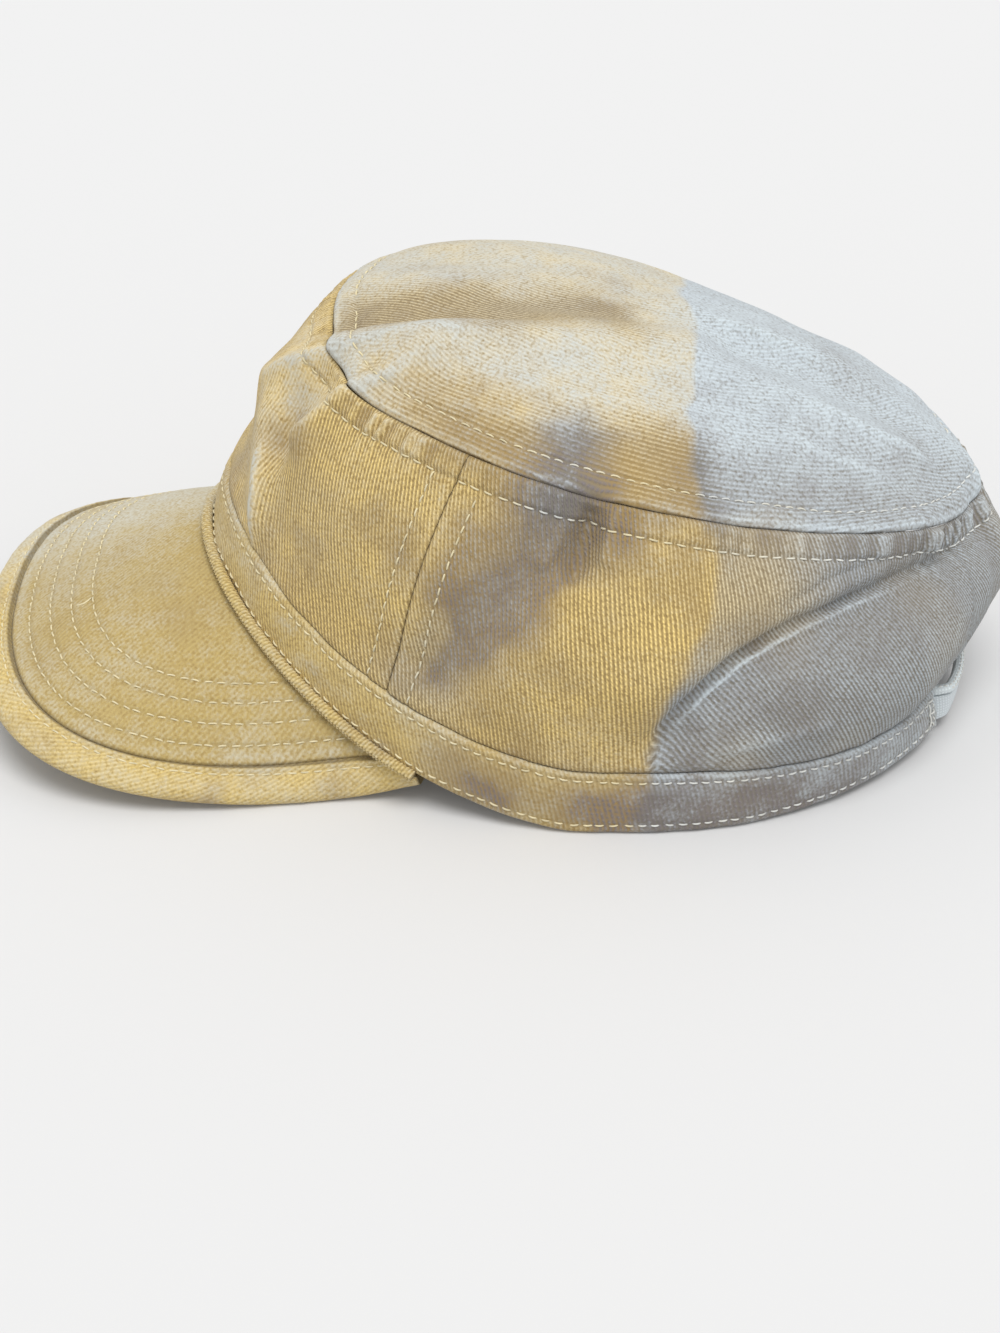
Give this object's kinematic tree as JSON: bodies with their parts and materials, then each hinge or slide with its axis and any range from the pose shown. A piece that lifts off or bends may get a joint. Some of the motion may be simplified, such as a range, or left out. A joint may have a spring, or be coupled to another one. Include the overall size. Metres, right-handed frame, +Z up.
{
  "type": "cadet cap",
  "caption": "Soft low-crowned cadet cap of washed cotton twill with a stiff arched peak, a sewn band and an arched opening over a strap at the back.",
  "frame": {"origin": "on the table, under the middle of the cap", "axes": "+X towards the wearer's left, +Y towards the back of the cap, +Z up; the peak points to -Y"},
  "size_m": [0.1704, 0.2644, 0.1096],
  "materials": {
    "crown_cloth": "washed cotton twill, khaki fading to grey",
    "band_cloth": "washed cotton twill, khaki",
    "peak_cloth": "washed cotton twill, khaki",
    "strap_cloth": "plain woven tape, grey-green",
    "strap_binding_tape": "pale stitched binding"
  },
  "bodies": {
    "root": {"crown_top": "crown_cloth", "crown_front": "crown_cloth", "crown_side_left": "crown_cloth", "crown_side_right": "crown_cloth", "band": "band_cloth", "peak": "peak_cloth", "peak_binding": "peak_cloth", "peak_welt": "band_cloth", "back_strap": "strap_cloth", "strap_binding": "strap_binding_tape"}
  },
  "joints": []
}
